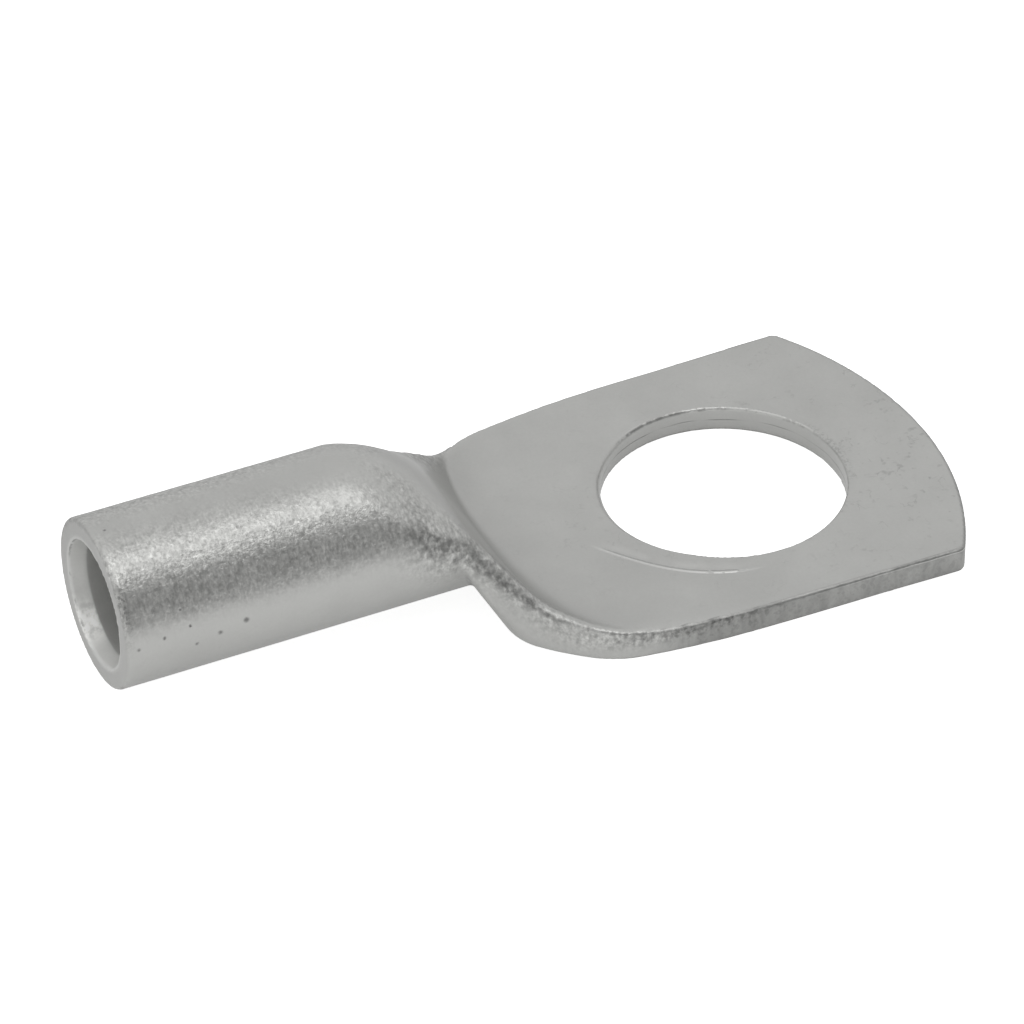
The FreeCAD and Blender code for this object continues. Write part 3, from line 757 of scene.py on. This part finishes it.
def tin_material(sizes, finish):
    """Satin tin plate on copper: faintly mottled, grainy where it was bent, streaked where it was cut, with
    painted highlights and painted shade in places.
    """
    material = bpy.data.materials.new("tinned_copper")
    material.use_nodes = True
    tree = material.node_tree
    tree.nodes.clear()
    coordinates = NodeSocket(tree, tree.nodes.new("ShaderNodeTexCoord").outputs["Object"])
    place = coordinates.vector("MULTIPLY", (1 / MM, 1 / MM, 1 / MM))
    x, y, z = (place.node("ShaderNodeSeparateXYZ", None, {0: place}, output=n) for n in range(3))

    def attribute(name):
        """One of the skin's own attributes, as a number."""
        return place.node("ShaderNodeAttribute", {"attribute_name": name}, output=2)

    def noise(size, detail=2.0, stretch=(1, 1, 1)):
        """Noise from 0 to 1 with spots of about this size in millimetres."""
        scaled = place.node("ShaderNodeMapping", None, {"Vector": place, "Scale": stretch})
        return place.node("ShaderNodeTexNoise", None, {"Vector": scaled, "Scale": 1 / size, "Detail": detail})

    def lines(size, width, detail=2.0):
        """Thin wandering lines, where a noise passes its middle."""
        return noise(size, detail).near(0.5, width)

    grain, rim, nick, bore, cut = (attribute(name) for name in ("grain", "rim", "nick", "bore", "cut"))
    mottle = noise(2.6, 4.0)
    clouds = noise(8.0, 1.0)
    speck = noise(0.34)
    powder = noise(0.15)
    strokes = noise(0.26, 2.0, (1.7, 0.8, 0.8))
    fibres = lines(0.5, 0.07) * strokes.above(0.42, 0.58)
    streaks = noise(0.42, 3.0, (0.9, 1, 0.3))

    # The stud hole's wall and edge, and the drag mark beside it: turn is the angle about the hole's middle.
    hole = sizes.stud_radius / MM
    from_hole = (x * x + y * y) ** 0.5
    wall = (hole - from_hole).above(-0.04, 0.0)
    seam = wall * (z + noise(2.0, 1.0) * SEAM_WAVER).near(SEAM_LEVEL, SEAM_WIDTH)
    seam = seam * noise(2.3, 1.0).above(0.35, 0.6)
    turn = y.math("ARCTAN2", y, x) * (180 / math.pi)
    on_palm = z.above(*PALM_TOP)
    bend = (abs(turn + DRAG_MIDDLE) * (1 / DRAG_HALF)) ** 4.0 * DRAG_BEND
    drift = from_hole + (turn + DRAG_MIDDLE) * DRAG_DRIFT - bend
    drawn = turn.above(*DRAG_FROM) * (1.0 - turn.above(*DRAG_TO)) * on_palm
    drag = drift.near(DRAG_RADIUS, DRAG_WIDTH) * drawn * noise(0.5).above(0.20, 0.48)
    inner_step = drift.near(DRAG_RADIUS - STEP_INSIDE, STEP_WIDTH) * drawn
    inner_step = inner_step * noise(1.6, 1.0).above(0.35, 0.60)
    hole_edge = from_hole.near(hole + 0.06, 0.10) * on_palm
    broken = noise(0.5)
    # Painted highlight along part of the hole's edge, broken up, then a darker stretch of that edge.
    burr_and_highlight = hole_edge * turn.above(*BURR_FROM) * (1.0 - turn.above(*BURR_TO)) * broken.above(0.38, 0.52)
    dark_stretch = hole_edge * turn.above(*BURR_TO) * (1.0 - turn.above(*DARK_STRETCH_TO)) * broken.above(0.40, 0.52)
    worn_rim = from_hole.near(hole + 0.2, 0.35) * turn.near(0.0, WORN_HALF) * on_palm

    # The barrel's open end: its lead-in, the bore behind it with painted shade in its deep part, a painted
    # glint low in the lead-in, and a dark broken line along the edge between them.
    from_axis = (y * y + (z - AXIS) * (z - AXIS)) ** 0.5
    mouth = 1.0 - x.above(0.3 - sizes.mouth / MM, 0.5 - sizes.mouth / MM)
    entry_end = (sizes.entry_depth - sizes.mouth) / MM
    deep_bore_shade = bore * x.above(entry_end - 0.06, entry_end + 0.06)
    low_side = (z - AXIS).math("ARCTAN2", z - AXIS, y) * (180 / math.pi)
    glint = bore * (1.0 - deep_bore_shade) * low_side.near(GLINT_AT, GLINT_HALF)
    glint = glint * (mottle + speck).above(0.70, 1.1)
    dark_entry_line = mouth * from_axis.near(sizes.entry_radius / MM, 0.05) * noise(0.9).above(0.44, 0.60)
    dark_entry_line = dark_entry_line * y.above(0.0, 2.0)
    # Above these heights the nicks of the mouth get a painted highlight, below them painted shade.
    high = z.above(*HIGH_NICKS)

    # Wear of the palm's top, which grows towards the tip, the cut tip itself, and the barrel's pits.
    wear = (x - 1.5 * abs(y + 1.0)).above(-22.0, 6.0) * on_palm
    scratches = lines(1.5, 0.012, 3.0) * noise(1.1, 1.0).above(0.54, 0.64) * (wear * 0.8 + 0.2)
    specks = noise(0.42).above(0.58, 0.74) * noise(3.4).above(0.48, 0.62) * (wear * 0.8 + 0.2)
    towards_tip = cut * x.above(-2.0, 7.0)
    # Painted highlight: a bright line along the cut side just below the palm's top, with a little relief.
    lip_and_highlight = (noise(1.2) * 0.06 - z).near(0.19 - sizes.palm_thickness / MM, 0.06) * towards_tip
    pits = 0.0
    for point, radius in PITS:
        gap = place.vector("DISTANCE", point, output=1)
        pits = pits + (1.0 - (gap + speck * radius * 1.4).above(radius * 0.7, radius * 1.9))

    # The plate's shade about 1, then what darkens it by a share times an amount, part of it painted shade,
    # then the painted highlights.
    shade = (mottle - 0.5) * 0.17 + (clouds - 0.5) * 0.10 + (powder - 0.5) * (grain * 0.60 + 0.08) + 1.0
    shade = shade + fibres * grain * 0.16 + (strokes - 0.5) * grain * 0.7 + drag * 0.32 + inner_step * 0.09
    # The nicks high on the mouth's edge get a painted highlight.
    shade = shade + cut * (streaks + speck - 1.0) * 0.6 + nick * high * speck.above(0.44, 0.60) * 0.7
    for share, amount in (
        (grain * speck.above(0.50, 0.68), 0.18),
        # Painted shade on the nicks low on the mouth's edge.
        (nick * (1.0 - high) * powder.above(0.46, 0.60), 0.5),
        # Painted shade on the rolled edge and on the barrel's band.
        (attribute("soot") * speck.above(0.32, 0.60), 0.45),
        (rim * powder.above(0.52, 0.64), 0.15),
        (cut, 0.32),
        (cut * speck.above(0.50, 0.66), 0.20),
        # Darker along the top of the cut side towards the tip.
        (towards_tip * z.above(1.26, 1.34), 0.20),
        (attribute("crease"), 0.14),
        (seam, 0.45),
        (dark_entry_line, 0.5),
        (dark_stretch, 0.45),
        (worn_rim * powder.above(0.48, 0.58), 0.22),
        (scratches, 0.16),
        (specks, 0.18),
        (pits.clip(), 0.60),
    ):
        shade = shade * (1.0 - share * amount)
    # Painted highlights: on part of the hole's edge, on a line along the cut side, and along the palm's rim.
    shade = shade + burr_and_highlight * 0.40 + lip_and_highlight * 0.55 + rim * 0.25
    # The bore is paler than the plate, its deep part gets painted shade, and the glint is a painted highlight.
    shade = shade * (bore * 0.42 - deep_bore_shade * 0.40 + 1.0) + glint * 0.9
    channels = {n: shade * level for n, level in enumerate(finish.tin)}
    colour = place.node("ShaderNodeCombineColor", None, channels)
    rough = (mottle - 0.5) * 0.10 + (speck - 0.5) * 0.08 + grain * 0.05 + finish.sheen
    rough = rough + (cut + bore + rim) * 0.10
    height = (fibres * 0.004 + speck * 0.012 + powder * 0.020 + strokes * 0.014) * grain * finish.bump
    height = height + (speck * 0.025 + powder * 0.025) * rim + speck * 0.002 + mottle * 0.006
    height = height + (streaks * 0.03 + speck * 0.03 + powder * 0.01) * cut
    height = height - scratches * 0.004 - specks * 0.004 - pits * 0.03 - seam * 0.01
    height = height + drag * 0.06 + inner_step * 0.012 + (burr_and_highlight + lip_and_highlight) * 0.03 + worn_rim * powder * 0.015
    bump = place.node("ShaderNodeBump", None, {"Height": height, "Strength": 1.0, "Distance": MM})
    inputs = {
        "Base Color": colour,
        "Metallic": 1.0 - bore * 0.7,
        "Roughness": rough.clip(),
        "Normal": bump,
    }
    shader = place.node("ShaderNodeBsdfPrincipled", None, inputs)
    tree.links.new(shader.socket, tree.nodes.new("ShaderNodeOutputMaterial").inputs["Surface"])
    return material


class LUG_OT_body(Operator):
    """Build the lug's skin in one piece, with its roundings and the grain of its tin"""

    bl_idname = "lug.body"
    bl_label = "Lug"

    def execute(self, context):
        settings = context.scene
        field = Field(settings.lug_sizes)
        finish = settings.lug_finish
        pitch = finish.pitch / MM
        margin = 2.5 * pitch
        low, high = (np.array(corner) / MM for corner in CAD_BOX)
        lines = [np.arange(a - margin, b + margin, pitch) for a, b in zip(low, high)]
        values = field(*np.meshgrid(*lines, indexing="ij"))
        points, quads = surface_net(values, [line[0] for line in lines], pitch)
        points = settle(field, points, quads)
        lug = new_mesh_object("lug_skin", points, quads, attributes(field, points))
        tree, inputs = relief_tree(finish)
        inputs["Finish"] = tin_material(settings.lug_sizes, finish)
        apply_tree(lug, tree, inputs)
        keep_in_box(lug.data, CAD_BOX)
        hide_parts(NODE)
        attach(lug, "root")
        return {"FINISHED"}


def keep_in_box(mesh, box):
    """Brings points that the grain lifted past the lug's faces back to the lug's own box."""
    places = np.empty(len(mesh.vertices) * 3, np.float32)
    mesh.vertices.foreach_get("co", places)
    places = np.clip(places.reshape(-1, 3), np.array(box[0]), np.array(box[1]))
    mesh.vertices.foreach_set("co", places.ravel())
    mesh.update()


class LUG_OT_studio(Operator):
    """Set up the pale floor, the soft light and the camera"""

    bl_idname = "lug.studio"
    bl_label = "Studio"

    def execute(self, context):
        studio = context.scene.lug_studio
        context.scene.view_settings.view_transform = "Standard"
        if studio.floor_shown:
            floor_object()
        world_light(context.scene, studio.fill)
        soft_box(KEY_WATTS * studio.key)
        context.scene.camera = camera(studio)
        return {"FINISHED"}


def camera(studio):
    """The camera at the photograph's own distance and angle."""
    data = bpy.data.cameras.new("Camera")
    data.lens = studio.lens
    data.clip_start = CLIP_START
    thing = bpy.data.objects.new("Camera", data)
    bpy.context.scene.collection.objects.link(thing)
    level = math.cos(studio.elevation)
    back = Vector((math.sin(studio.azimuth), -math.cos(studio.azimuth), math.tan(studio.elevation))) * level
    turn = back.to_track_quat("Z", "Y") @ Quaternion((0, 0, 1), studio.roll)
    thing.matrix_world = Matrix.Translation(LOOK_AT + back * studio.distance) @ turn.to_matrix().to_4x4()
    return thing


def soft_box(watts):
    """The rectangular area light overhead, which faces the lug."""
    data = bpy.data.lights.new("Key", "AREA")
    data.shape = "RECTANGLE"
    data.size, data.size_y = KEY_SIZE
    data.energy = watts
    thing = bpy.data.objects.new("Key", data)
    thing.location = KEY_PLACE
    thing.rotation_euler = (KEY_PLACE - KEY_AIM).to_track_quat("Z", "Y").to_euler()
    bpy.context.scene.collection.objects.link(thing)


def floor_object():
    """A wide pale floor under the lug, white to the camera, and bright in the metal along a strip."""
    half = FLOOR_HALF
    corners = [(-half, -half, 0), (half, -half, 0), (half, half, 0), (-half, half, 0)]
    mesh = bpy.data.meshes.new("floor")
    mesh.from_pydata(corners, [], [(0, 1, 2, 3)])
    thing = bpy.data.objects.new("floor", mesh)
    bpy.context.scene.collection.objects.link(thing)
    material = bpy.data.materials.new("floor")
    material.use_nodes = True
    tree = material.node_tree
    tree.nodes.clear()
    rays = NodeSocket(tree, tree.nodes.new("ShaderNodeLightPath").outputs["Is Camera Ray"])
    glossy = NodeSocket(tree, rays.socket.node.outputs["Is Glossy Ray"])
    place = NodeSocket(tree, tree.nodes.new("ShaderNodeTexCoord").outputs["Object"])
    across = place.node("ShaderNodeSeparateXYZ", None, {0: place}, output=1)
    pool = across.near(POOL_AT, POOL_REACH)
    grey = (FLOOR_GREY, FLOOR_GREY, FLOOR_GREY, 1)
    paper = rays.node("ShaderNodeBsdfDiffuse", None, {"Color": grey})
    strength = rays * FLOOR_WHITE + glossy * pool * POOL_GLOW
    glow = rays.node("ShaderNodeEmission", None, {"Color": (1, 1, 1, 1), "Strength": strength})
    both = rays.node("ShaderNodeAddShader", None, {0: paper, 1: glow})
    tree.links.new(both.socket, tree.nodes.new("ShaderNodeOutputMaterial").inputs["Surface"])
    mesh.materials.append(material)
    return thing


def world_light(scene, strength):
    """A pale room: white to the eye, softer as light, and dim low down on the side of the camera."""
    world = bpy.data.worlds.new("Studio")
    scene.world = world
    world.use_nodes = True
    tree = world.node_tree
    tree.nodes.clear()
    way = NodeSocket(tree, tree.nodes.new("ShaderNodeTexCoord").outputs["Generated"])
    eye = NodeSocket(tree, tree.nodes.new("ShaderNodeLightPath").outputs["Is Camera Ray"])
    front = way.vector("DOT_PRODUCT", FRONT, output=1)
    room = ROOM - front.above(*DIM_EDGE) * DIM
    level = eye.math("MULTIPLY", strength, room)
    shown = eye.math("MAXIMUM", eye, level)
    back = eye.node("ShaderNodeBackground", None, {"Color": (1, 1, 1, 1), "Strength": shown})
    tree.links.new(back.socket, tree.nodes.new("ShaderNodeOutputWorld").inputs["Surface"])


class LUG_PT_panel(Panel):
    """Sizes, finish and studio of the cable lug"""

    bl_idname = "LUG_PT_panel"
    bl_label = "Cable Lug"
    bl_space_type = "VIEW_3D"
    bl_region_type = "UI"
    bl_category = "Cable Lug"

    def draw(self, context):
        layout = self.layout
        for group in (context.scene.lug_sizes, context.scene.lug_finish, context.scene.lug_studio):
            column = layout.column()
            for name in group.__annotations__:
                column.prop(group, name)
        for operator in (LUG_OT_body, LUG_OT_studio):
            layout.operator(operator.bl_idname)


GROUPS = {"lug_sizes": LugSizes, "lug_finish": LugFinish, "lug_studio": LugStudio}
CLASSES = (*GROUPS.values(), LUG_OT_body, LUG_OT_studio, LUG_PT_panel)


def register():
    for item in CLASSES:
        bpy.utils.register_class(item)
    for name, group in GROUPS.items():
        setattr(bpy.types.Scene, name, PointerProperty(type=group))


def unregister():
    for name in GROUPS:
        delattr(bpy.types.Scene, name)
    for item in reversed(CLASSES):
        bpy.utils.unregister_class(item)


def main():
    """Builds the whole scene."""
    register()
    bpy.ops.lug.studio()
    bpy.ops.lug.body()


if __name__ == "__main__":
    main()
